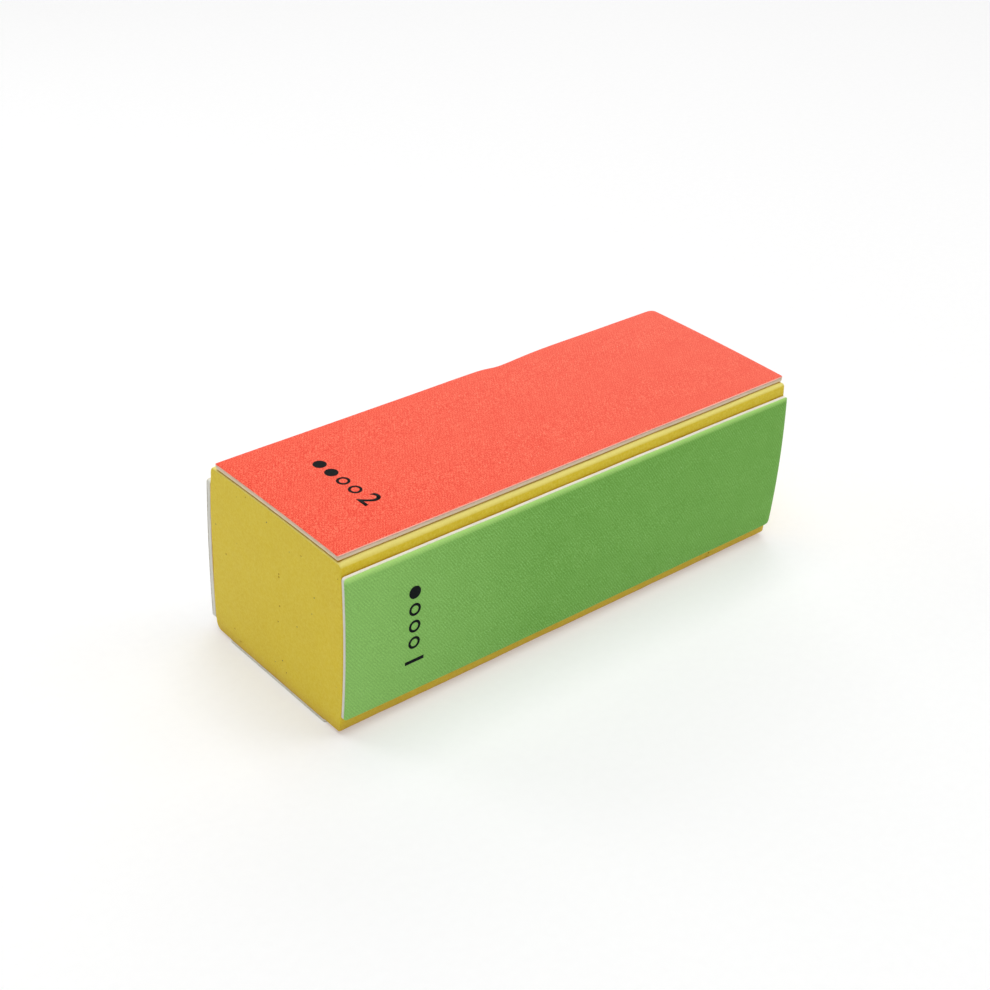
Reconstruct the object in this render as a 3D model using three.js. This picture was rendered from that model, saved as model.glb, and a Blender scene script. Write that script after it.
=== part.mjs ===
// Four-sided nail buffer block: a foam core with rounded edges, and a working strip on each long side.
// A strip is a laminate of four layers, from the core outwards: a mounting film of adhesive, a pad of
// soft white foam, a bonding film of adhesive, and the abrasive sheet that files or shines the nail.
//
// Units are millimetres, with +Z up. X runs along the block. The origin is on the surface that the
// block rests on, under the middle of its bounding box. Across the block, sizes are multiples of
// 1/16 mm, so that two faces glued together lie in exactly the same plane.

import * as THREE from 'three';

// ---- Driving dimensions ----

const CORE_LENGTH = 90;
const CORE_WIDTH = 32.375;
const CORE_HEIGHT = 29.375;
const LONG_EDGE_RADIUS = 1.5;
const END_EDGE_RADIUS = 0.75;
const STRIP_CORNER_RADIUS = 0.5;

// Layer thicknesses of the three laminates that the strips are cut from.
const PLAIN_LAMINATE = { mountingFilm: 0.125, pad: 0.5, bondingFilm: 0.0625, sheet: 0.1875 };
const THICK_LAMINATE = { mountingFilm: 0.125, pad: 0.75, bondingFilm: 0.0625, sheet: 0.1875 };
const THIN_LAMINATE = { mountingFilm: 0.0625, pad: 0.25, bondingFilm: 0.0625, sheet: 0.125 };

// A strip is as long as the core, so all the cut ends are flush.
const STRIP_LENGTH = 90;
const WIDE_STRIP = 30.375;
const NARROW_STRIP = 24.75;

// One strip for each long side. turn is the angle about X, in degrees, that carries +Z to that side's
// outward normal. offset moves the strip sideways on its face, along the turned Y axis.
const STRIPS = {
  front: { turn: 90, width: NARROW_STRIP, offset: 0, laminate: PLAIN_LAMINATE, colour: 0x6cc24a },
  top: { turn: 0, width: WIDE_STRIP, offset: -0.375, laminate: PLAIN_LAMINATE, colour: 0xf0563f },
  back: { turn: -90, width: NARROW_STRIP, offset: 0.75, laminate: THICK_LAMINATE, colour: 0xf2f0ea },
  bottom: { turn: 180, width: NARROW_STRIP, offset: 0, laminate: THIN_LAMINATE, colour: 0x8f9399 },
};

const FOAM_YELLOW = 0xefd84e;
const FOAM_WHITE = 0xf2f2e9;
const ADHESIVE_TAN = 0xcfc3a2;

// Straight pieces that each quarter-round is drawn with.
const EDGE_ROUND_STEPS = 5;
const CORNER_ROUND_STEPS = 4;

// ---- Sizes worked out from them ----

function laminateThickness({ mountingFilm, pad, bondingFilm, sheet }) {
  return mountingFilm + pad + bondingFilm + sheet;
}

// The back strip is thicker than the front one, so the core stands a little off the middle.
const FRONT_THICKNESS = laminateThickness(STRIPS.front.laminate);
const BACK_THICKNESS = laminateThickness(STRIPS.back.laminate);
const CORE_CENTRE_Y = (FRONT_THICKNESS - BACK_THICKNESS) / 2;
const CORE_CENTRE_Z = laminateThickness(STRIPS.bottom.laminate) + CORE_HEIGHT / 2;

// ---- Materials ----

function foamMaterial(colour) {
  return new THREE.MeshStandardMaterial({ color: colour, roughness: 0.85, metalness: 0 });
}

function adhesiveMaterial() {
  return new THREE.MeshStandardMaterial({ color: ADHESIVE_TAN, roughness: 0.4, metalness: 0 });
}

function abrasiveMaterial(colour) {
  return new THREE.MeshStandardMaterial({ color: colour, roughness: 0.95, metalness: 0 });
}

// ---- Shapes ----

// A rectangle centred on the origin, with quarter-round corners.
function roundedRectangle(width, height, radius) {
  const x = width / 2 - radius;
  const y = height / 2 - radius;
  const quarterTurn = Math.PI / 2;
  const cornerCentres = [[x, y], [-x, y], [-x, -y], [x, -y]];
  const outline = new THREE.Shape();
  outline.moveTo(width / 2, y);
  cornerCentres.forEach(([centreX, centreY], quarter) => {
    const start = quarter * quarterTurn;
    outline.absarc(centreX, centreY, radius, start, start + quarterTurn, false);
  });
  outline.closePath();
  return outline;
}

// The core is its cross-section drawn out along X, with a smaller round at the edges of both ends.
function coreGeometry() {
  const section = roundedRectangle(CORE_WIDTH, CORE_HEIGHT, LONG_EDGE_RADIUS);
  const geometry = new THREE.ExtrudeGeometry(section, {
    depth: CORE_LENGTH - 2 * END_EDGE_RADIUS,
    steps: 1,
    curveSegments: EDGE_ROUND_STEPS,
    bevelEnabled: true,
    bevelThickness: END_EDGE_RADIUS,
    bevelSize: END_EDGE_RADIUS,
    bevelOffset: -END_EDGE_RADIUS,
    bevelSegments: EDGE_ROUND_STEPS,
  });
  geometry.translate(0, 0, END_EDGE_RADIUS - CORE_LENGTH / 2);
  // Turn the drawing axis from Z to X, and the section's width from X to Y.
  geometry.rotateX(Math.PI / 2);
  geometry.rotateZ(Math.PI / 2);
  return geometry;
}

// A layer is a flat sheet with its inner face at height 0.
function layerGeometry(width, thickness) {
  const outline = roundedRectangle(STRIP_LENGTH, width, STRIP_CORNER_RADIUS);
  return new THREE.ExtrudeGeometry(outline, {
    depth: thickness,
    steps: 1,
    curveSegments: CORNER_ROUND_STEPS,
    bevelEnabled: false,
  });
}

// ---- Sub-parts ----

function foamCore() {
  const core = new THREE.Mesh(coreGeometry(), foamMaterial(FOAM_YELLOW));
  core.name = 'foam_core';
  core.position.set(0, CORE_CENTRE_Y, CORE_CENTRE_Z);
  return core;
}

function strip(side, { turn, width, offset, laminate, colour }) {
  const layers = [
    { name: 'mounting_film', thickness: laminate.mountingFilm, material: adhesiveMaterial() },
    { name: 'backing_pad', thickness: laminate.pad, material: foamMaterial(FOAM_WHITE) },
    { name: 'bonding_film', thickness: laminate.bondingFilm, material: adhesiveMaterial() },
    { name: 'abrasive_sheet', thickness: laminate.sheet, material: abrasiveMaterial(colour) },
  ];
  const group = new THREE.Group();
  group.position.set(0, CORE_CENTRE_Y, CORE_CENTRE_Z);
  group.rotation.x = THREE.MathUtils.degToRad(turn);

  const isUpright = Math.abs(turn) === 90;
  let height = (isUpright ? CORE_WIDTH : CORE_HEIGHT) / 2;
  for (const { name, thickness, material } of layers) {
    const layer = new THREE.Mesh(layerGeometry(width, thickness), material);
    layer.name = `${side}_${name}`;
    layer.position.set(0, offset, height);
    group.add(layer);
    height += thickness;
  }
  return group;
}

const block = new THREE.Group();
block.name = 'nail_buffer_block';
block.add(foamCore());
for (const [side, design] of Object.entries(STRIPS)) {
  block.add(strip(side, design));
}

export default block;
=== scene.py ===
# %% [markdown]
# # A four-sided nail buffer block
# A manicurist rubs a nail with each side of this block in turn, from coarse to fine. The block is a bar of
# yellow EVA foam. Each long side carries a strip: a pad of soft white foam with a coloured abrasive cloth
# on it, held by two thin films of adhesive. This notebook models those pieces over the plain CAD solids,
# gives each one the finish of the real stuff, and lights them like a product in a studio.

# %% Load the CAD frame
import math
import random

import bpy
from mathutils import Matrix, Vector, noise


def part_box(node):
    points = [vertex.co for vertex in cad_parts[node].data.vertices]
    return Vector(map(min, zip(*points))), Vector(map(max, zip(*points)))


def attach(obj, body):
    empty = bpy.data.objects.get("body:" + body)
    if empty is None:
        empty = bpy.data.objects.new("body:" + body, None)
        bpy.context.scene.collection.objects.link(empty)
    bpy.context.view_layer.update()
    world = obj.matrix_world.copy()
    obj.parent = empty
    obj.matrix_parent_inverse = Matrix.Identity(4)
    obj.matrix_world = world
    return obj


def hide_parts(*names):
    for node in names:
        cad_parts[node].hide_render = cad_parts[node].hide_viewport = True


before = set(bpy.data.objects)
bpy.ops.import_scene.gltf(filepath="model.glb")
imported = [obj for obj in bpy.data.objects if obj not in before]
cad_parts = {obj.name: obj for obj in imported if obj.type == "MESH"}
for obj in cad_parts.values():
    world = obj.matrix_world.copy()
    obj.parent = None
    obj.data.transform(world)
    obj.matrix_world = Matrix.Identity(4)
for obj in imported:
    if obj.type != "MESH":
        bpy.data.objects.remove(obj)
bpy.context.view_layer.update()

MM = 0.001

# %% [markdown]
# ## Where everything is
# All places come from the CAD nodes, so nothing here has to be fitted by eye. A side's four layers lie on
# top of each other, and `outward` says which way is up for that side. Turning a layer by `turn` about the
# X axis lays it on its side, so every strip can be made lying flat first.

# %% Read the sizes from the CAD nodes
core_low, core_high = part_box("foam_core")
core_middle = (core_low + core_high) / 2
core_half = (core_high - core_low) / 2
SIDES = {"front": 90, "top": 0, "back": -90, "bottom": 180}
LAYERS = ("mounting_film", "backing_pad", "bonding_film", "abrasive_sheet")


def lie_flat(side):
    """The turn about the block's long axis that brings a side to the top."""
    turn = Matrix.Rotation(math.radians(-SIDES[side]), 4, "X")
    return turn @ Matrix.Translation(-core_middle)


def flat_box(side, layer):
    """Lowest and highest corner of a layer once its side has been turned to the top."""
    corners = [lie_flat(side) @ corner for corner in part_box(f"{side}_{layer}")]
    low = Vector(map(min, *corners))
    high = Vector(map(max, *corners))
    return low, high


for side in SIDES:
    low, high = flat_box(side, "abrasive_sheet")
    print(side, "sheet, width and thickness in mm:", round((high.y - low.y) / MM, 3),
          round((high.z - low.z) / MM, 4))

# %% [markdown]
# ## The camera
# The camera stands about 28 cm away, above and to the left, with a portrait-length lens. It is aimed at a
# point inside the block, and its body is tipped sideways by about three degrees. A distance and two angles
# are easier to adjust by hand than three coordinates, so its place is worked out from them.

# %% Put up the camera
CAMERA_AIM = Vector((-0.571, 2.679, 15.1875)) * MM
CAMERA_DISTANCE = 281.3 * MM
CAMERA_TURN = math.radians(-42.061)
CAMERA_RISE = math.radians(31.520)
CAMERA_TIP = math.radians(3.191)
CAMERA_LENS = 63.77
FULL_FRAME_WIDTH = 36

to_camera = Vector((math.sin(CAMERA_TURN) * math.cos(CAMERA_RISE),
                    -math.cos(CAMERA_TURN) * math.cos(CAMERA_RISE),
                    math.sin(CAMERA_RISE)))
bpy.ops.object.camera_add(location=CAMERA_AIM + to_camera * CAMERA_DISTANCE)
camera = bpy.context.object
camera.name = "studio_camera"
camera.data.lens = CAMERA_LENS
camera.data.sensor_width = FULL_FRAME_WIDTH
camera.data.clip_start = 0.01
camera.data.clip_end = 10
facing = (-to_camera).to_track_quat("-Z", "Y").to_matrix().to_4x4()
camera.matrix_world = (Matrix.Translation(camera.location) @ facing
                       @ Matrix.Rotation(CAMERA_TIP, 4, "Z"))
bpy.context.scene.camera = camera
print("camera at, in mm:", [round(place / MM, 1) for place in camera.location])

# %% [markdown]
# ## Working by hand, from a script
# Blender's tools act on whatever is selected, and the CAD nodes are all selected when they load. So each
# step first clears the selection, then picks one piece. `choose` does the same inside edit mode: it picks
# the faces, edges or points that pass a test on their place.

# %% Selection helpers
def pick(piece):
    """Select one piece only, and make it the active one."""
    bpy.ops.object.select_all(action="DESELECT")
    piece.select_set(True)
    bpy.context.view_layer.objects.active = piece


def choose(piece, kind, test):
    """In edit mode, select only the parts of one kind (vertices, edges or polygons) that pass the test."""
    bpy.ops.mesh.select_mode(type={"vertices": "VERT", "edges": "EDGE", "polygons": "FACE"}[kind])
    bpy.ops.mesh.select_all(action="DESELECT")
    bpy.ops.object.mode_set(mode="OBJECT")
    found = 0
    for part in getattr(piece.data, kind):
        part.select = bool(test(part))
        found += part.select
    bpy.ops.object.mode_set(mode="EDIT")
    return found


def cut_once(axis, place):
    """In edit mode, cut the whole mesh with a plane square to one axis."""
    point = [place * (i == axis) for i in range(3)]
    normal = [float(i == axis) for i in range(3)]
    bpy.ops.mesh.select_all(action="SELECT")
    bpy.ops.mesh.bisect(plane_co=point, plane_no=normal)


def slice_across(axis, start, stop, spacing):
    """In edit mode, cut the whole mesh with evenly spaced planes square to one axis."""
    count = max(1, round((stop - start) / spacing))
    for i in range(1, count):
        cut_once(axis, start + (stop - start) * i / count)


def freeze_place(piece):
    """Put the piece's place, turn and size into its mesh, so that the object sits at the origin."""
    pick(piece)
    bpy.ops.object.transform_apply(location=True, rotation=True, scale=True)


# %% [markdown]
# ## The foam core
# The real core is sawn from a thick sheet of closed-cell EVA foam. The blade leaves the upper edges fairly
# crisp, and the lower ones, where the block stands on the table, get rubbed round. A box with its four
# long edges bevelled one by one gives the sawn block. It is then sliced into a fine grid, because a
# bevelled box has no points in the middle of its faces to move.

# %% Saw the core and ease its edges
LONG_EDGES = {(-1, 1): 0.4 * MM, (1, 1): 0.5 * MM, (-1, -1): 0.6 * MM, (1, -1): 1.3 * MM}
END_EDGE_RADIUS = 0.2 * MM
EDGE_STEPS = 6
GRID = 1.0 * MM
CLOSE = 0.01 * MM


def is_long_edge(piece, edge, corner):
    """True for the edge along X at one corner of the core's section, such as (-1, 1) for front and top."""
    wanted = (core_middle.y + corner[0] * core_half.y, core_middle.z + corner[1] * core_half.z)
    ends = [piece.data.vertices[i].co for i in edge.vertices]
    return all(abs(end.y - wanted[0]) < CLOSE and abs(end.z - wanted[1]) < CLOSE for end in ends)


bpy.ops.object.select_all(action="DESELECT")
bpy.ops.mesh.primitive_cube_add(size=1, location=core_middle, scale=core_half * 2)
core = bpy.context.object
core.name = "yellow_foam_core"
freeze_place(core)
bpy.ops.object.mode_set(mode="EDIT")
for corner, radius in LONG_EDGES.items():
    choose(core, "edges", lambda edge: is_long_edge(core, edge, corner))
    bpy.ops.mesh.bevel(offset=radius, segments=EDGE_STEPS, profile=0.5)
ends = (core_low.x, core_high.x)


def on_an_end(piece, edge):
    """True for an edge that lies in the plane of a sawn end."""
    return any(all(abs(piece.data.vertices[i].co.x - end) < CLOSE for i in edge.vertices)
               for end in ends)


choose(core, "edges", lambda edge: on_an_end(core, edge))
bpy.ops.mesh.bevel(offset=END_EDGE_RADIUS, segments=EDGE_STEPS, profile=0.5)
slice_across(0, core_low.x, core_high.x, GRID)
slice_across(1, core_low.y, core_high.y, GRID)
slice_across(2, core_low.z, core_high.z, GRID)
bpy.ops.object.mode_set(mode="OBJECT")
print("sawn core:", len(core.data.polygons), "faces")

# %% [markdown]
# ## Crowning the block
# Foam isn't stiff, so a sawn face swells: the middle of a long face stands up to two thirds of a
# millimetre prouder than its edges. One rule gives that swell, and the strips use it too, so that the
# layers stay in contact. CROWN_SHARE_INSIDE says how much of a crown lies inside the CAD face, at its
# edges. The bottom is left flat, because the block stands on it. Around the top, the bare rim of the foam
# slopes down to the edge, since only the part under the strip is held up. That opens a fine gap under
# the strip's edge, which shows as a line.

# %% Swell the core's long faces and slope its rim
CROWN = {"front": 0.66 * MM, "top": 0.19 * MM, "back": 0.5 * MM, "bottom": 0}
CROWN_SHARE_INSIDE = 0.15
RIM_WIDTH = 0.72 * MM
RIM_DROP = 0.48 * MM
RIM_DROP_CHANGE = 0.14 * MM
END_RIM_WIDTH = 0.7 * MM
END_RIM_DROP = 0.36 * MM
RIM_FADE = 4.0 * MM


def swell(side, share):
    """How far a side's face stands out at a point that is this share of the way to its edge."""
    return CROWN[side] * (1 - min(1.0, share * share) - CROWN_SHARE_INSIDE)


def rim_drop(place):
    """How far the rim of the top face has sunk at a place: more along the sides near the marked end."""
    from_side = min(place.y - core_low.y, core_high.y - place.y)
    from_end = min(place.x - core_low.x, core_high.x - place.x)
    side_slope = max(0.0, 1 - from_side / RIM_WIDTH)
    end_slope = max(0.0, 1 - from_end / END_RIM_WIDTH)
    side_drop = RIM_DROP - RIM_DROP_CHANGE * place.x / core_half.x
    fade = max(0.0, 1 - (core_high.z - place.z) / RIM_FADE)
    return max(side_drop * side_slope, END_RIM_DROP * end_slope) * fade


for vertex in core.data.vertices:
    sunk = rim_drop(vertex.co)
    from_middle = vertex.co - core_middle
    across = max(-1.0, min(1.0, from_middle.y / core_half.y))
    upward = max(-1.0, min(1.0, from_middle.z / core_half.z))
    vertex.co.y += across * swell("front" if across < 0 else "back", upward)
    vertex.co.z += max(0.0, upward) * swell("top", across) - sunk
print("core swollen by up to", round(max(CROWN.values()) / MM, 2), "mm")

# %% [markdown]
# ## The skin of the foam
# A sawn foam face is never quite flat. Two Displace modifiers with cloud textures move the skin by less
# than a tenth of a millimetre, one for slow waves and one for fine unevenness. Then some of the small
# faces are inset and pushed in: those are the open cells that show as pinholes.

# %% Make the skin uneven and open some cells
SLOW_WAVE_SIZE = 9 * MM
SLOW_WAVE_HEIGHT = 0.16 * MM
FINE_WAVE_SIZE = 1.6 * MM
FINE_WAVE_HEIGHT = 0.05 * MM


def roughen(piece, size, height):
    """Push a piece's skin in and out by soft random clouds."""
    clouds = bpy.data.textures.new(f"clouds_{round(size / MM, 2)}", "CLOUDS")
    clouds.noise_scale = size
    clouds.noise_depth = 1
    pick(piece)
    bump = piece.modifiers.new("uneven skin", "DISPLACE")
    bump.texture = clouds
    bump.texture_coords = "LOCAL"
    bump.strength = height
    bump.mid_level = 0.5
    bpy.ops.object.modifier_apply(modifier=bump.name)


roughen(core, SLOW_WAVE_SIZE, SLOW_WAVE_HEIGHT)
pick(core)
bpy.ops.object.mode_set(mode="EDIT")
bpy.ops.mesh.select_all(action="SELECT")
bpy.ops.mesh.subdivide(number_cuts=1, smoothness=0)
bpy.ops.object.mode_set(mode="OBJECT")
roughen(core, FINE_WAVE_SIZE, FINE_WAVE_HEIGHT)

CELL_SHARE = 0.0025
CELL_RIM = 0.13 * MM
CELL_WALL = 0.03 * MM
CELL_DEPTH = 0.18 * MM
SMALLEST_FACE = (0.3 * MM) ** 2
DICE_SEED = 7
dice = random.Random(DICE_SEED)
pick(core)
bpy.ops.object.mode_set(mode="EDIT")
cells = choose(core, "polygons",
               lambda face: face.area > SMALLEST_FACE and dice.random() < CELL_SHARE)
bpy.ops.mesh.inset(thickness=CELL_RIM, use_individual=True)
bpy.ops.mesh.inset(thickness=CELL_WALL, depth=-CELL_DEPTH, use_individual=True)
bpy.ops.object.mode_set(mode="OBJECT")
print("open cells:", cells, "- core now has", len(core.data.polygons), "faces")

# %% [markdown]
# ## The strips
# A strip is sliced from a big laminated sheet, so its four layers share one outline. One flat blank is
# made for it: a rectangle, sliced into a grid so that it can follow the crown of the foam, with closer
# cuts near its border so that the border can roll over. Handling rounds its corners, some more than
# others, so each corner has its own radius. Each layer is then a copy of the blank, given its own
# thickness by Solidify.

# %% Cut the blank for a strip
CRISP, WORN, VERY_WORN = 0.22 * MM, 0.45 * MM, 1.1 * MM
BORDER_CUTS = (0.15 * MM, 0.35 * MM, 0.6 * MM)
CORNERS = {
    "front": {(-1, 1): WORN, (-1, -1): WORN, (1, 1): WORN, (1, -1): VERY_WORN},
    "top": {(-1, 1): CRISP, (-1, -1): CRISP, (1, 1): VERY_WORN, (1, -1): WORN},
    "back": {(-1, 1): WORN, (-1, -1): WORN, (1, 1): WORN, (1, -1): WORN},
    "bottom": {(-1, 1): WORN, (-1, -1): WORN, (1, 1): WORN, (1, -1): WORN},
}


def cut_blank(side, low, high):
    """A flat sheet with rounded corners, lying at height 0, sliced into a grid."""
    size = (high.x - low.x, high.y - low.y, 1)
    middle = ((low.x + high.x) / 2, (low.y + high.y) / 2, 0)
    bpy.ops.object.select_all(action="DESELECT")
    bpy.ops.mesh.primitive_plane_add(size=1, location=middle)
    blank = bpy.context.object
    blank.name = f"{side}_blank"
    blank.scale = size
    freeze_place(blank)
    bpy.ops.object.mode_set(mode="EDIT")
    for (toward_x, toward_y), radius in CORNERS[side].items():
        corner = Vector((high.x if toward_x > 0 else low.x, high.y if toward_y > 0 else low.y, 0))
        choose(blank, "vertices", lambda vertex: (vertex.co - corner).length < CLOSE)
        bpy.ops.mesh.bevel(offset=radius, segments=EDGE_STEPS, affect="VERTICES")
    for axis in (0, 1):
        slice_across(axis, low[axis], high[axis], GRID)
        for inside in BORDER_CUTS:
            for place in (low[axis] + inside, high[axis] - inside):
                cut_once(axis, place)
    bpy.ops.object.mode_set(mode="OBJECT")
    return blank


blanks = {}
for side in SIDES:
    blanks[side] = cut_blank(side, *flat_box(side, "abrasive_sheet"))
    print(side, "blank:", len(blanks[side].data.polygons), "faces")

# %% [markdown]
# ## Hand-cut edges
# A knife leaves a long edge that wanders by up to a tenth of a millimetre. On this block the top strip has
# a nick in its back edge, where the blade slipped, and that edge isn't quite parallel to the block. The
# front strip's lower edge runs a little uphill towards the near end, and its upper edge stands out by a
# hair, except at the far end. `edge_error` gives those errors for one edge. They fade to nothing in the
# middle of the strip, so the grid stays even.

# %% Let the blade wander
WANDER = 0.07 * MM
WANDER_LENGTH = 11 * MM
NICK_PLACE = 8.7 * MM
NICK_DEPTH = 0.72 * MM
NICK_STEEP_SIDE = 2.0 * MM
NICK_SLOW_SIDE = 6.5 * MM
TOP_BACK_SHIFT = 0.08
TOP_BACK_SLOPE = 0.0035
FRONT_LOWER_SHIFT = 0.1
FRONT_LOWER_RISE = 0.5
FRONT_UPPER_SHIFT = 0.15


def nick(x):
    """Depth of the nick in the top strip's back edge: sudden on one side, slow on the other."""
    reach = NICK_STEEP_SIDE if x < NICK_PLACE else NICK_SLOW_SIDE
    return NICK_DEPTH * math.exp(-((x - NICK_PLACE) / reach) ** 2)


def edge_error(side, edge, x):
    """How far outwards a long edge lies at x. edge is 1 for the edge at higher Y, and -1 for the other.

    The shifts and the rise are in mm, and the slope is in mm for each mm along the block.
    """
    order = list(SIDES).index(side)
    error = WANDER * noise.noise(Vector((x / WANDER_LENGTH, 3.1 * order, 7.7 * edge)))
    if side == "top" and edge > 0:
        error += (TOP_BACK_SHIFT + TOP_BACK_SLOPE * x / MM) * MM - nick(x)
    if side == "front" and edge < 0:
        share_to_near_end = max(0.0, -x / core_half.x)
        error -= (FRONT_LOWER_SHIFT + FRONT_LOWER_RISE * share_to_near_end ** 2) * MM
    if side == "front" and edge > 0:
        share_to_far_end = max(0.0, x / core_half.x)
        error += (FRONT_UPPER_SHIFT - FRONT_UPPER_SHIFT * share_to_far_end ** 2) * MM
    return error


for side, blank in blanks.items():
    low, high = flat_box(side, "abrasive_sheet")
    centre = (low.y + high.y) / 2
    half_width = (high.y - low.y) / 2
    for vertex in blank.data.vertices:
        share = (vertex.co.y - centre) / half_width
        edge = 1 if share > 0 else -1
        vertex.co.y += edge * abs(share) ** 3 * edge_error(side, edge, vertex.co.x)
print("nick in the top strip is", round(nick(NICK_PLACE) / MM, 2), "mm deep")

# %% [markdown]
# ## Laying up the strips
# Each layer starts where the layer below it ends. The films of adhesive are rolled on a hair narrower than
# the foam, which leaves the fine line that a glued edge shows. The pads get a small Bevel, since soft foam
# has no sharp edge. The knife presses the border of a strip down, so its outer layers roll over there and
# catch the light. At the end the layer is crowned and turned onto its side of the block.

# %% Build the sixteen layers
FILM_SETBACK = 0.08 * MM
PAD_EDGE_ROUND = 0.09 * MM
PAD_EDGE_STEPS = 3
PAD_EDGE_ANGLE = math.radians(60)
SMOOTH_ANGLE = math.radians(35)
ROLL_WIDTH = 1.0 * MM
ROLL_DEPTH = {"front": 0.2 * MM, "top": 0.07 * MM, "back": 0.15 * MM, "bottom": 0.04 * MM}


def roll_over(place, low, high, depth):
    """How far a strip is pressed down at a place: most at its border, and most in its outer layers."""
    from_border = min(place.x - low.x, high.x - place.x, place.y - low.y, high.y - place.y)
    near_border = max(0.0, 1 - max(0.0, from_border) / ROLL_WIDTH)
    height_share = (place.z - low.z) / (high.z - low.z)
    return depth * near_border ** 2 * height_share


def half_face(side):
    """Half the width of the core's face on one side."""
    return core_half.z if side in ("front", "back") else core_half.y


def lay_up(side, layer):
    """Make one layer of a strip from the side's blank, and put it in place."""
    low, high = flat_box(side, layer)
    pick(blanks[side])
    bpy.ops.object.duplicate()
    piece = bpy.context.object
    piece.name = f"{side}_{layer}_piece"
    is_film = layer.endswith("film")
    if is_film:
        length, width = high.x - low.x, high.y - low.y
        piece.scale = ((length - 2 * FILM_SETBACK) / length, (width - 2 * FILM_SETBACK) / width, 1)
    piece.location.z = low.z
    freeze_place(piece)

    wall = piece.modifiers.new("thickness", "SOLIDIFY")
    wall.thickness = high.z - low.z
    wall.offset = 1
    wall.use_even_offset = False
    bpy.ops.object.modifier_apply(modifier=wall.name)
    if layer == "backing_pad":
        soft = piece.modifiers.new("soft edge", "BEVEL")
        soft.width = PAD_EDGE_ROUND
        soft.segments = PAD_EDGE_STEPS
        soft.limit_method = "ANGLE"
        soft.angle_limit = PAD_EDGE_ANGLE
        bpy.ops.object.modifier_apply(modifier=soft.name)

    strip_low, strip_high = flat_box(side, "mounting_film")[0], flat_box(side, "abrasive_sheet")[1]
    half_width = half_face(side)
    for vertex in piece.data.vertices:
        vertex.co.z -= roll_over(vertex.co, strip_low, strip_high, ROLL_DEPTH[side])
        vertex.co.z += swell(side, vertex.co.y / half_width)
    piece.data.transform(lie_flat(side).inverted())
    piece.data.update()
    bpy.ops.object.shade_smooth_by_angle(angle=SMOOTH_ANGLE)
    return piece


layers = {}
for side in SIDES:
    for layer in LAYERS:
        layers[side, layer] = lay_up(side, layer)
    print(side, "strip laid up:", [layers[side, layer].name for layer in LAYERS])
for blank in blanks.values():
    bpy.data.objects.remove(blank)
pick(core)
bpy.ops.object.shade_smooth_by_angle(angle=SMOOTH_ANGLE)

# %% [markdown]
# ## The printed marks
# Real blocks carry a small printed mark near one end of each side, to say in which order to use them. Here
# it is a plain one: the side's number, and four pips of which as many are filled. The ink is a very thin
# solid that lies on the cloth. A pip is a disc, and an open one is a disc whose middle is cut out. The
# numeral stands a little more than one pip spacing from the last pip, by NUMERAL_GAP of that spacing.

# %% Print the marks
INK_THICKNESS = 0.03 * MM
INK_SINK = 0.01 * MM
NUMERAL_HEIGHT = 3.3 * MM
STROKE_GAIN = 0.06 * MM
PIP_RADIUS = 1.05 * MM
PIP_RING = 0.42 * MM
PIP_SPACING = 2.9 * MM
PIP_POINTS = 32
NUMERAL_GAP = 0.15
MARK_FROM_END = 12.0 * MM
MARK_ORDER = ("front", "top", "back", "bottom")
print("numbers:", {side: i + 1 for i, side in enumerate(MARK_ORDER)})


def thicken_ink(piece):
    """Give a flat drawing the thickness of a coat of ink, and leave it a clean closed mesh."""
    pick(piece)
    coat = piece.modifiers.new("coat of ink", "SOLIDIFY")
    coat.thickness = INK_THICKNESS
    coat.offset = 1
    bpy.ops.object.modifier_apply(modifier=coat.name)


def draw_pip(place, is_filled):
    """A disc of ink, or a ring of the same size."""
    bpy.ops.object.select_all(action="DESELECT")
    bpy.ops.mesh.primitive_circle_add(vertices=PIP_POINTS, radius=PIP_RADIUS, fill_type="NGON",
                                      location=place)
    pip = bpy.context.object
    if not is_filled:
        bpy.ops.object.mode_set(mode="EDIT")
        bpy.ops.mesh.select_mode(type="FACE")
        bpy.ops.mesh.select_all(action="SELECT")
        bpy.ops.mesh.inset(thickness=PIP_RING)
        bpy.ops.mesh.delete(type="FACE")
        bpy.ops.object.mode_set(mode="OBJECT")
    freeze_place(pip)
    thicken_ink(pip)
    return pip


def draw_numeral(number, place):
    """The number itself, in Blender's own plain font, turned from text into a mesh."""
    bpy.ops.object.select_all(action="DESELECT")
    bpy.ops.object.text_add(location=place)
    numeral = bpy.context.object
    numeral.data.body = str(number)
    numeral.data.align_x = "CENTER"
    numeral.data.align_y = "CENTER"
    bpy.context.view_layer.update()
    numeral.data.size = NUMERAL_HEIGHT / numeral.dimensions.y
    numeral.data.offset = STROKE_GAIN
    bpy.ops.object.convert(target="MESH")
    numeral = bpy.context.object
    freeze_place(numeral)
    bpy.ops.object.mode_set(mode="EDIT")
    bpy.ops.mesh.select_all(action="SELECT")
    bpy.ops.mesh.remove_doubles(threshold=0.001 * MM)
    bpy.ops.object.mode_set(mode="OBJECT")
    thicken_ink(numeral)
    return numeral


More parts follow.
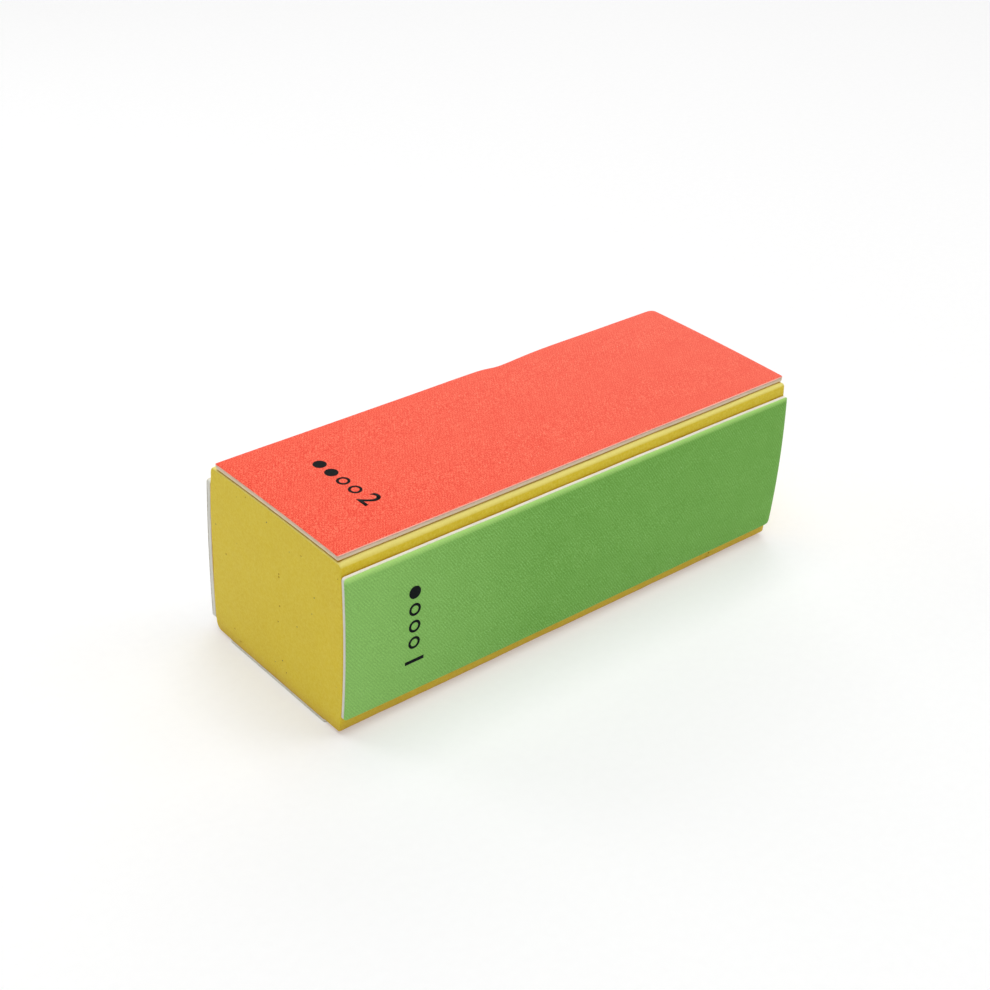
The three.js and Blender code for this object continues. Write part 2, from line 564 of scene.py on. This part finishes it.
def print_mark(side):
    """Draw a side's mark flat, turn it to read across the side, crown it and lay it on the cloth."""
    number = MARK_ORDER.index(side) + 1
    count = len(MARK_ORDER)
    pips = [draw_pip(((i - count / 2) * PIP_SPACING, 0, 0), i < number) for i in range(count)]
    parts = pips + [draw_numeral(number, ((count / 2 + NUMERAL_GAP) * PIP_SPACING, 0, 0))]
    bpy.ops.object.select_all(action="DESELECT")
    for part in parts:
        part.select_set(True)
    bpy.context.view_layer.objects.active = parts[0]
    bpy.ops.object.join()
    mark = bpy.context.object
    mark.name = f"{side}_printed_mark"

    low, high = flat_box(side, "abrasive_sheet")
    place = Vector((low.x + MARK_FROM_END, (low.y + high.y) / 2, high.z - INK_SINK))
    quarter_turn = Matrix.Rotation(math.radians(-90), 4, "Z")
    mark.data.transform(Matrix.Translation(place) @ quarter_turn)
    half_width = half_face(side)
    for vertex in mark.data.vertices:
        vertex.co.z += swell(side, vertex.co.y / half_width)
    mark.data.transform(lie_flat(side).inverted())
    mark.data.update()
    return mark


marks = {side: print_mark(side) for side in MARK_ORDER}
print("marks printed on:", list(marks))

# %% [markdown]
# ## Describing a finish
# A material is a small graph of nodes. Two helpers keep that readable: one turns the hex colours that
# people choose into the linear numbers that Blender mixes, and one adds a node, sets its values and links
# its inputs in a single line.

# %% Colour and node helpers
def hex_colour(text):
    """A hex colour as linear red, green, blue and alpha."""
    channels = [int(text[i:i + 2], 16) / 255 for i in (1, 3, 5)]
    linear = [c / 12.92 if c <= 0.04045 else ((c + 0.055) / 1.055) ** 2.4 for c in channels]
    return (*linear, 1.0)


def add(material, kind, settings=None, **inputs):
    """Add a node, set its own settings, and give each input a value or a link from another node.

    An input's name has _ for each space. Where names repeat, it is _ and the number of the socket: in a
    Mix node for colours, _6 is the colour at factor 0 and _7 the colour at factor 1.
    """
    tree = material.node_tree
    node = tree.nodes.new(f"ShaderNode{kind}")
    for name, value in (settings or {}).items():
        setattr(node, name, value)
    for name, value in inputs.items():
        socket = node.inputs[int(name[1:])] if name[1:].isdigit() else node.inputs[name.replace("_", " ")]
        if isinstance(value, bpy.types.NodeSocket):
            tree.links.new(value, socket)
        else:
            socket.default_value = value
    return node


def start_material(name, **surface):
    """A new material with a Principled shader, and the place of each point in the block's own frame."""
    material = bpy.data.materials.new(name)
    material.use_nodes = True
    shader = material.node_tree.nodes["Principled BSDF"]
    for socket, value in surface.items():
        shader.inputs[socket.replace("_", " ")].default_value = value
    place = add(material, "TexCoord").outputs["Object"]
    return material, shader, place


def link(material, output, shader, socket):
    """Join an output to one of the shader's inputs."""
    material.node_tree.links.new(output, shader.inputs[socket])


def per_mm(size):
    """The texture scale that gives features of this size in millimetres."""
    return 1 / (size * MM)


# %% [markdown]
# ## Yellow EVA foam
# EVA (ethylene vinyl acetate) foam is made of tiny closed bubbles, about 0.15 mm across, drawn here at
# twice that size so that they show. A sawn face cuts them open, so it looks matt and slightly mealy, and a
# few bigger cells show as pinholes, coloured dark as painted shade for the inside of a hole. Slow patches
# come from uneven dye. Where the foam faces up it is painted paler, a painted highlight on its upper edges.
# Where Ambient Occlusion finds it tucked in, beside and under a strip or near the floor, its colour is
# darkened to deep gold: painted shade.

# %% Make the yellow foam
CORNER_REACH = 6 * MM
SOLID_CELL_SHARE = 0.62
CELL_RELIEF = 0.6


def make_eva_foam(name, body, shade, bloom, dust_and_sheen, painted_shade, painted_pinhole_shade):
    """Sawn closed-cell EVA foam in one colour, painted paler where it faces up as a painted highlight, and
    darkened as painted shade where it is tucked in.
    """
    foam, shader, place = start_material(name, Roughness=0.52, IOR=1.5, Specular_IOR_Level=0.3)
    patches = add(foam, "TexNoise", Vector=place, Scale=per_mm(7), Detail=2.0)
    meal = add(foam, "TexNoise", Vector=place, Scale=per_mm(0.35), Detail=3.0, Roughness=0.6)
    cells = add(foam, "TexVoronoi", Vector=place, Scale=per_mm(0.32))
    pinholes = add(foam, "TexVoronoi", Vector=place, Scale=per_mm(1.9))
    hole = add(foam, "MapRange", Value=pinholes.outputs["Distance"], From_Min=0.045, From_Max=0.075,
               To_Min=1.0, To_Max=0.0)
    chance = add(foam, "Math", {"operation": "GREATER_THAN"}, _0=pinholes.outputs["Color"],
                 _1=SOLID_CELL_SHARE)
    seen_hole = add(foam, "Math", {"operation": "MULTIPLY"}, _0=hole.outputs[0], _1=chance.outputs[0])

    slow = add(foam, "Mix", {"data_type": "RGBA"}, Factor=patches.outputs["Fac"],
               _6=hex_colour(shade), _7=hex_colour(body))
    paler = add(foam, "MapRange", Value=meal.outputs["Fac"], From_Min=0.35, From_Max=0.7,
                To_Min=0.0, To_Max=0.8)
    mealy = add(foam, "Mix", {"data_type": "RGBA"}, Factor=paler.outputs[0],
                _6=slow.outputs[2], _7=hex_colour(bloom))
    # Painted highlight: the colour turns paler the more the foam faces up, for the overhead light on its
    # upper edges.
    facing = add(foam, "SeparateXYZ", Vector=add(foam, "NewGeometry").outputs["Normal"])
    dust_and_sheen_mask = add(foam, "MapRange", Value=facing.outputs["Z"], From_Min=0.15, From_Max=0.65,
               To_Min=0.0, To_Max=0.75)
    with_painted_sheen = add(foam, "Mix", {"data_type": "RGBA"}, Factor=dust_and_sheen_mask.outputs[0],
                 _6=mealy.outputs[2], _7=hex_colour(dust_and_sheen))
    # Painted shade: where Ambient Occlusion finds the foam tucked in, beside and under a strip or near the
    # floor, the colour is darkened to deep gold.
    openness = add(foam, "AmbientOcclusion", {"samples": 8}, Distance=CORNER_REACH)
    painted_shade_mask = add(foam, "MapRange", Value=openness.outputs["AO"], From_Min=0.3, From_Max=0.76,
                    To_Min=1.0, To_Max=0.0)
    with_painted_shade = add(foam, "Mix", {"data_type": "RGBA"}, Factor=painted_shade_mask.outputs[0],
                   _6=with_painted_sheen.outputs[2], _7=hex_colour(painted_shade))
    # Painted shade: the pinholes are coloured dark, for the shade inside a hole.
    holed = add(foam, "Mix", {"data_type": "RGBA"}, Factor=seen_hole.outputs[0],
                _6=with_painted_shade.outputs[2], _7=hex_colour(painted_pinhole_shade))
    link(foam, holed.outputs[2], shader, "Base Color")

    cell_height = add(foam, "Math", {"operation": "MULTIPLY"}, _0=cells.outputs["Distance"],
                      _1=CELL_RELIEF)
    height = add(foam, "Math", {"operation": "SUBTRACT"}, _0=cell_height.outputs[0],
                 _1=seen_hole.outputs[0])
    bump = add(foam, "Bump", Height=height.outputs[0], Strength=0.35, Distance=0.05 * MM)
    link(foam, bump.outputs[0], shader, "Normal")
    return foam


# The paler up-facing colour is a painted highlight. The deep gold and the dark pinhole colour are painted
# shade.
yellow_eva = make_eva_foam("sawn yellow EVA foam", body="#F0D41A", shade="#E8C812", bloom="#F6DE44",
                           dust_and_sheen="#FFF594", painted_shade="#C4900E", painted_pinhole_shade="#6B5A1E")
print("made", yellow_eva.name)

# %% [markdown]
# ## White backing foam
# The pads are sliced from a roll of soft white foam. Only their cut edges show: off-white, with fine cells,
# and a little grubby where they have been handled. The top pad is tinted tan as painted bounce light: it
# stands for the coral and yellow colour reflected onto its edge in shade.

# %% Make the white foam
def make_white_foam(name, grubby, clean):
    """Soft white foam with open cut cells."""
    foam, shader, place = start_material(name, Roughness=0.8, IOR=1.45, Specular_IOR_Level=0.3)
    grime = add(foam, "TexNoise", Vector=place, Scale=per_mm(2.5), Detail=3.0)
    colour = add(foam, "Mix", {"data_type": "RGBA"}, Factor=grime.outputs["Fac"],
                 _6=hex_colour(grubby), _7=hex_colour(clean))
    link(foam, colour.outputs[2], shader, "Base Color")
    cells = add(foam, "TexVoronoi", Vector=place, Scale=per_mm(0.25))
    bump = add(foam, "Bump", Height=cells.outputs["Distance"], Strength=0.5, Distance=0.06 * MM)
    link(foam, bump.outputs[0], shader, "Normal")
    return foam


white_foam = make_white_foam("sliced white backing foam", grubby="#E6E6DC", clean="#FAFAF4")
# The top pad is tinted tan all over: painted bounce light, for the coral and yellow reflected onto it in
# shade.
tan_tinted_foam = make_white_foam("white foam tinted by bounced light", grubby="#EDD6B6", clean="#FAE9CE")
print("made", white_foam.name, "and", tan_tinted_foam.name)

# %% [markdown]
# ## Adhesive film
# The films are pressure-sensitive adhesive, like double-sided tape without its liner. It is clear and pale
# amber. Its colour here is a deeper gold than that, partly as painted shade: it stands for the golden,
# bounce-lit shade in the fine gap under a strip's edge. So at a cut edge it shows as a thin golden line,
# paler where it has picked up dust.

# %% Make the adhesive
def make_adhesive(name, amber, dust_and_sheen):
    """Tacky amber adhesive film with dust on its cut edge. Its deep gold is partly painted shade for the
    gap under a strip.
    """
    film, shader, place = start_material(name, Roughness=0.35, IOR=1.48)
    dust_and_sheen_mask = add(film, "TexNoise", Vector=place, Scale=per_mm(0.8), Detail=2.0)
    colour = add(film, "Mix", {"data_type": "RGBA"}, Factor=dust_and_sheen_mask.outputs["Fac"],
                 _6=hex_colour(amber), _7=hex_colour(dust_and_sheen))
    link(film, colour.outputs[2], shader, "Base Color")
    bump = add(film, "Bump", Height=dust_and_sheen_mask.outputs["Fac"], Strength=0.3, Distance=0.03 * MM)
    link(film, bump.outputs[0], shader, "Normal")
    return film


# The deep gold is partly painted shade: the bounce-lit shade in the gap under a strip's edge.
adhesive = make_adhesive("pale amber adhesive film", amber="#DDAA30", dust_and_sheen="#EFC95E")
print("made", adhesive.name)

# %% [markdown]
# ## Abrasive cloth
# The working faces are a fine cotton twill with a coat of coloured resin and grit. A twill shows slanting
# ridges, here 0.4 mm apart: the resin follows them, darker in the valleys. The grit itself is about
# 0.06 mm, too fine to see from here, so it is drawn as grain of 0.17 mm, with a few paler sparks and dark
# flecks. A sine wave along the right direction draws the ridges exactly, and noise breaks them up as real
# yarn does. Each cloth is painted paler towards one end: painted light, for light that falls more
# strongly on that end. One long border is paler too: frayed fibres, and on the green cloth also a painted
# highlight where its rolled edge catches the overhead light.

# %% Make an abrasive cloth
RIDGE_WOBBLE = 5.0
COARSE_NEAR_END = 1.6
COARSE_FAR_END = 0.7
SPARK_SIZE, SPARK_SPACING = 0.09, 1.1
FLECK_SIZE, FLECK_SPACING = 0.06, 3.1
DOT_CORE, DOT_RIM = 0.5, 1.2
FULL_FRAY = 0.9
GRAIN_RELIEF = 0.9


def make_abrasive_cloth(name, side, body, valley, ridge, ridges_per_mm, ridge_share, grain_share,
                        spark, spark_chance, fleck, fleck_chance, painted_light_colour, painted_light_share, painted_light_span,
                        fray_and_highlight, fray_width):
    """Twill cloth coated with grit, for one side. ridges_per_mm is a vector square to the ridges.

    The cloth turns paler from the first to the second place of its span, in mm along the block: painted
    light, for light that falls more strongly on that end. The long border that rubs against the hand is
    paler over fray_width: frayed fibres, and on the green cloth also a painted highlight where its rolled
    edge catches the overhead light. Sizes and spacings are in mm too.
    """
    cloth, shader, place = start_material(name, Roughness=0.75, IOR=1.5, Specular_IOR_Level=0.3)
    wobble = add(cloth, "TexNoise", Vector=place, Scale=per_mm(1.4), Detail=2.0)
    along = add(cloth, "VectorMath", {"operation": "DOT_PRODUCT"}, _0=place,
                _1=[2 * math.pi * count / MM for count in ridges_per_mm])
    phase = add(cloth, "Math", {"operation": "MULTIPLY_ADD"}, _0=wobble.outputs["Fac"],
                _1=RIDGE_WOBBLE, _2=along.outputs["Value"])
    wave = add(cloth, "Math", {"operation": "SINE"}, _0=phase.outputs[0])
    yarn = add(cloth, "TexNoise", Vector=place, Scale=per_mm(0.75), Detail=1.0)
    strength = add(cloth, "MapRange", Value=yarn.outputs["Fac"], From_Min=0.3, From_Max=0.7,
                   To_Min=0.2, To_Max=1.0)
    ridges = add(cloth, "Math", {"operation": "MULTIPLY"}, _0=wave.outputs[0],
                 _1=strength.outputs[0])
    grain = add(cloth, "TexNoise", Vector=place, Scale=per_mm(0.17), Detail=2.0, Roughness=0.7)
    blotch = add(cloth, "TexNoise", Vector=place, Scale=per_mm(4.5), Detail=4.0, Roughness=0.6)

    parts = add(cloth, "SeparateXYZ", Vector=place)
    grain_part = add(cloth, "MapRange", Value=grain.outputs["Fac"], From_Min=0.25, From_Max=0.75,
                     To_Min=-grain_share, To_Max=grain_share)
    both = add(cloth, "Math", {"operation": "MULTIPLY_ADD"}, _0=ridges.outputs[0],
               _1=ridge_share, _2=grain_part.outputs[0])
    coarseness = add(cloth, "MapRange", Value=parts.outputs["X"], From_Min=core_low.x,
                     From_Max=core_high.x, To_Min=COARSE_NEAR_END, To_Max=COARSE_FAR_END)
    ridge_part = add(cloth, "Math", {"operation": "MULTIPLY"}, _0=both.outputs[0],
                     _1=coarseness.outputs[0])
    blotch_part = add(cloth, "MapRange", Value=blotch.outputs["Fac"], From_Min=0.3, From_Max=0.7,
                      To_Min=0.44, To_Max=0.56)
    tone = add(cloth, "Math", {"operation": "ADD", "use_clamp": True}, _0=ridge_part.outputs[0],
               _1=blotch_part.outputs[0])
    ramp = add(cloth, "ValToRGB", Fac=tone.outputs[0])
    ramp.color_ramp.elements[0].color = hex_colour(valley)
    ramp.color_ramp.elements[1].color = hex_colour(ridge)
    ramp.color_ramp.elements.new(0.5).color = hex_colour(body)

    # Painted light: the cloth is made paler along the block towards one end, for light that falls more
    # strongly there.
    painted_light_mask = add(cloth, "MapRange", Value=parts.outputs["X"], From_Min=painted_light_span[0] * MM,
               From_Max=painted_light_span[1] * MM, To_Min=0.0, To_Max=painted_light_share)
    with_painted_light = add(cloth, "Mix", {"data_type": "RGBA"}, Factor=painted_light_mask.outputs[0],
                _6=ramp.outputs["Color"], _7=hex_colour(painted_light_colour))
    # The top sheet is paler along its front border, and the others along the border at higher Y or Z:
    # frayed fibres, and on the green sheet also a painted highlight.
    low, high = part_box(f"{side}_abrasive_sheet")
    axis = 2 if side in ("front", "back") else 1
    off_middle = add(cloth, "Math", {"operation": "SUBTRACT"}, _0=parts.outputs[axis],
                     _1=(low[axis] + high[axis]) / 2)
    toward_border = add(cloth, "Math", {"operation": "MULTIPLY"}, _0=off_middle.outputs[0],
                        _1=-1.0 if side == "top" else 1.0)
    border = (high[axis] - low[axis]) / 2
    fray_and_highlight_mask = add(cloth, "MapRange", Value=toward_border.outputs[0],
                 From_Min=border - fray_width * MM, From_Max=border, To_Min=0.0, To_Max=FULL_FRAY)
    with_fray_and_highlight = add(cloth, "Mix", {"data_type": "RGBA"}, Factor=fray_and_highlight_mask.outputs[0],
                        _6=with_painted_light.outputs[2], _7=hex_colour(fray_and_highlight))

    colour = with_fray_and_highlight.outputs[2]
    for dot, chance, size, spacing in ((spark, spark_chance, SPARK_SIZE, SPARK_SPACING),
                                       (fleck, fleck_chance, FLECK_SIZE, FLECK_SPACING)):
        spots = add(cloth, "TexVoronoi", Vector=place, Scale=per_mm(spacing))
        inside = add(cloth, "MapRange", Value=spots.outputs["Distance"],
                     From_Min=DOT_CORE * size / spacing, From_Max=DOT_RIM * size / spacing,
                     To_Min=1.0, To_Max=0.0)
        lucky = add(cloth, "Math", {"operation": "LESS_THAN"}, _0=spots.outputs["Color"], _1=chance)
        shown = add(cloth, "Math", {"operation": "MULTIPLY"}, _0=inside.outputs[0],
                    _1=lucky.outputs[0])
        spotted = add(cloth, "Mix", {"data_type": "RGBA"}, Factor=shown.outputs[0], _6=colour,
                      _7=hex_colour(dot))
        colour = spotted.outputs[2]
    link(cloth, colour, shader, "Base Color")

    relief = add(cloth, "Math", {"operation": "MULTIPLY_ADD"}, _0=grain.outputs["Fac"],
                 _1=GRAIN_RELIEF, _2=ridges.outputs[0])
    bump = add(cloth, "Bump", Height=relief.outputs[0], Strength=0.4, Distance=0.02 * MM)
    link(cloth, bump.outputs[0], shader, "Normal")
    return cloth


TWILL_ALONG = 2.0
TWILL_ACROSS = 1.46
print("twill ridges are", round(1 / math.hypot(TWILL_ALONG, TWILL_ACROSS), 2), "mm apart")

# %% Weave the four cloths
WHOLE_LENGTH = (-45, 45)
# On the green cloth the paler near end is painted light, and its paler upper border is partly a painted
# highlight.
green_cloth = make_abrasive_cloth(
    "green grit-coated twill", side="front", body="#7EBE52", valley="#69A93E", ridge="#98D570",
    ridges_per_mm=(TWILL_ALONG, 0, TWILL_ACROSS), ridge_share=0.2, grain_share=0.46,
    spark="#A9DA86", spark_chance=0.2, fleck="#2C3A1C", fleck_chance=0.4,
    painted_light_colour="#B4EE86", painted_light_share=0.44, painted_light_span=(-8, -45), fray_and_highlight="#CCFF90", fray_width=0.85)
# On the coral cloth the paler far end is painted light.
coral_cloth = make_abrasive_cloth(
    "coral grit-coated twill", side="top", body="#F24931", valley="#E93B26", ridge="#FF7C5E",
    ridges_per_mm=(TWILL_ALONG, -TWILL_ACROSS, 0), ridge_share=0.12, grain_share=0.95,
    spark="#FFA78C", spark_chance=0.3, fleck="#C9402E", fleck_chance=0.25,
    painted_light_colour="#FFC0A8", painted_light_share=0.09, painted_light_span=WHOLE_LENGTH, fray_and_highlight="#FFC9B6", fray_width=0.25)
white_cloth = make_abrasive_cloth(
    "white grit-coated twill", side="back", body="#E9E7DF", valley="#DEDBD1", ridge="#F3F2EC",
    ridges_per_mm=(TWILL_ALONG, 0, -TWILL_ACROSS), ridge_share=0.16, grain_share=0.3,
    spark="#FFFFFF", spark_chance=0.4, fleck="#B9B5A8", fleck_chance=0.3,
    painted_light_colour="#FFFFFF", painted_light_share=0.1, painted_light_span=WHOLE_LENGTH, fray_and_highlight="#FFFFFF", fray_width=0.5)
grey_cloth = make_abrasive_cloth(
    "grey polishing twill", side="bottom", body="#9A9EA4", valley="#8C9096", ridge="#A8ACB2",
    ridges_per_mm=(TWILL_ALONG, TWILL_ACROSS, 0), ridge_share=0.1, grain_share=0.2,
    spark="#B9BDC2", spark_chance=0.3, fleck="#74787E", fleck_chance=0.3,
    painted_light_colour="#C4C7CB", painted_light_share=0.1, painted_light_span=WHOLE_LENGTH, fray_and_highlight="#C4C7CB", fray_width=0.5)
print("made four abrasive cloths")

# %% [markdown]
# ## Raw cloth at the cut edge
# The coat is only on the working face. Where the knife has cut the sheet, the bare cream cotton shows. On
# the coral sheet some of the colour has soaked through, so its edge is pinker.

# %% Make the raw cloth edge
def make_raw_cloth(name, cotton_colour, yarn_shade):
    """Uncoated cotton seen end-on at a cut edge."""
    cotton, shader, place = start_material(name, Roughness=0.9, IOR=1.45, Specular_IOR_Level=0.2)
    yarn_ends = add(cotton, "TexVoronoi", Vector=place, Scale=per_mm(0.4))
    colour = add(cotton, "Mix", {"data_type": "RGBA"}, Factor=yarn_ends.outputs["Distance"],
                 _6=hex_colour(cotton_colour), _7=hex_colour(yarn_shade))
    link(cotton, colour.outputs[2], shader, "Base Color")
    bump = add(cotton, "Bump", Height=yarn_ends.outputs["Distance"], Strength=0.4,
               Distance=0.05 * MM)
    link(cotton, bump.outputs[0], shader, "Normal")
    return cotton


raw_cloth = make_raw_cloth("raw cotton edge", cotton_colour="#F1EFE6", yarn_shade="#D6D2C4")
stained_cloth = make_raw_cloth("coral-stained cotton edge", cotton_colour="#F4D6C4",
                               yarn_shade="#E0B59E")
print("made", raw_cloth.name, "and", stained_cloth.name)

# %% [markdown]
# ## Printing ink
# The marks are rubber-stamped in black. Stamped ink is thin on top of grit, so it is a little grey, with
# small skips where it missed a valley in the cloth.

# %% Make the ink
def make_ink(name, black, thin_grey):
    """Thin black stamping ink with grey skips."""
    ink, shader, place = start_material(name, Roughness=0.85, IOR=1.45, Specular_IOR_Level=0.2)
    skips = add(ink, "TexNoise", Vector=place, Scale=per_mm(0.35), Detail=2.0)
    thin = add(ink, "MapRange", Value=skips.outputs["Fac"], From_Min=0.55, From_Max=0.8,
               To_Min=0.0, To_Max=0.6)
    colour = add(ink, "Mix", {"data_type": "RGBA"}, Factor=thin.outputs[0],
                 _6=hex_colour(black), _7=hex_colour(thin_grey))
    link(ink, colour.outputs[2], shader, "Base Color")
    bump = add(ink, "Bump", Height=skips.outputs["Fac"], Strength=0.3, Distance=0.02 * MM)
    link(ink, bump.outputs[0], shader, "Normal")
    return ink


ink = make_ink("stamped black ink", black="#080F11", thin_grey="#222C2C")
print("made", ink.name)

# %% [markdown]
# ## Dressing the pieces
# Each piece now gets its finish, replaces the CAD solid that held its place, and rides on the block. A
# sheet has two finishes: the coat on its face, and raw cotton on its cut edges and back.

# %% Dress the foam and the films
def dress(piece, node, material):
    """Give a piece its finish and make it stand for its CAD node."""
    piece.data.materials.clear()
    piece.data.materials.append(material)
    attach(piece, "root")
    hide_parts(node)


dress(core, "foam_core", yellow_eva)
for side in SIDES:
    pad = layers[side, "backing_pad"]
    dress(pad, f"{side}_backing_pad", tan_tinted_foam if side == "top" else white_foam)
    for film in ("mounting_film", "bonding_film"):
        dress(layers[side, film], f"{side}_{film}", adhesive)
print("dressed the core, the pads and the films")

# %% Dress the sheets and the marks
COATS = {
    "front": (green_cloth, "green_cloth"),
    "top": (coral_cloth, "coral_abrasive"),
    "back": (white_cloth, "white_abrasive"),
    "bottom": (grey_cloth, "grey_buffing_sheet"),
}
# A face counts as the worked face if it is turned less than 60 degrees from straight out.
FACES_OUT = 0.5
for side, (coat, slot) in COATS.items():
    sheet = layers[side, "abrasive_sheet"]
    dress(sheet, f"{side}_abrasive_sheet", coat)
    sheet.data.materials.append(stained_cloth if side == "top" else raw_cloth)
    outward = (lie_flat(side).inverted().to_3x3() @ Vector((0, 0, 1))).normalized()
    for face in sheet.data.polygons:
        face.material_index = 0 if face.normal.dot(outward) > FACES_OUT else 1
    low, high = flat_box(side, "abrasive_sheet")
    marks[side].data.materials.clear()
    marks[side].data.materials.append(ink)
    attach(marks[side], "root")
    print(side, "sheet has a coat of", coat.name)

# %% [markdown]
# ## The studio
# The block stands on a light table: a broad sheet of white acrylic that glows a little from below, so the
# background is plain white and the shadows are faint. A large softbox hangs above, and a big bright panel
# stands behind. A softbox at the right lights the front, and two small ones fill in the near end.

# %% Set up the floor and the lights
TABLE_WIDTH = 6
TABLE_GLOW = 0.36
ROOM_LIGHT = 0.03
WHITE = (1, 1, 1, 1)


def make_glowing_acrylic(name, haze_dark, haze_light):
    """White acrylic lit from below."""
    acrylic, shader, place = start_material(name, Roughness=0.9, Specular_IOR_Level=0.1,
                                            Emission_Color=WHITE, Emission_Strength=TABLE_GLOW)
    haze = add(acrylic, "TexNoise", Vector=place, Scale=per_mm(1.5), Detail=2.0)
    colour = add(acrylic, "Mix", {"data_type": "RGBA"}, Factor=haze.outputs["Fac"],
                 _6=hex_colour(haze_dark), _7=hex_colour(haze_light))
    link(acrylic, colour.outputs[2], shader, "Base Color")
    return acrylic


bpy.ops.object.select_all(action="DESELECT")
bpy.ops.mesh.primitive_plane_add(size=TABLE_WIDTH, location=(0, 0, 0))
floor = bpy.context.object
floor.name = "light_table"
floor.data.materials.append(
    make_glowing_acrylic("glowing white acrylic", haze_dark="#CDCDCD", haze_light="#D1D1D1"))


def hang_softbox(name, place, size, watts):
    """A square white softbox that faces the middle of the block. Its place and size are in metres."""
    bpy.ops.object.light_add(type="AREA", location=place)
    box = bpy.context.object
    box.name = name
    box.data.shape = "SQUARE"
    box.data.size = size
    box.data.energy = watts
    box.rotation_euler = (core_middle - box.location).to_track_quat("-Z", "Y").to_euler()
    box.visible_camera = False
    return box


hang_softbox("overhead_softbox", place=(0, 0, 0.9), size=0.8, watts=6.8)
hang_softbox("backdrop_panel", place=(0.9, 1.0, 0.45), size=1.2, watts=9.0)
hang_softbox("near_fill", place=(-0.22, -0.2, 0.25), size=0.15, watts=0.12)
hang_softbox("left_fill", place=(-0.2, 0.3, 0.2), size=0.15, watts=0.24)
hang_softbox("right_front_softbox", place=(0.55, -0.4, 0.68), size=0.5, watts=1.5)
studio = bpy.data.worlds.new("studio")
studio.use_nodes = True
background = studio.node_tree.nodes["Background"]
background.inputs["Color"].default_value = WHITE
background.inputs["Strength"].default_value = ROOM_LIGHT
bpy.context.scene.world = studio
bpy.context.scene.view_settings.view_transform = "Standard"
print("lights:", [light.name for light in bpy.data.lights])
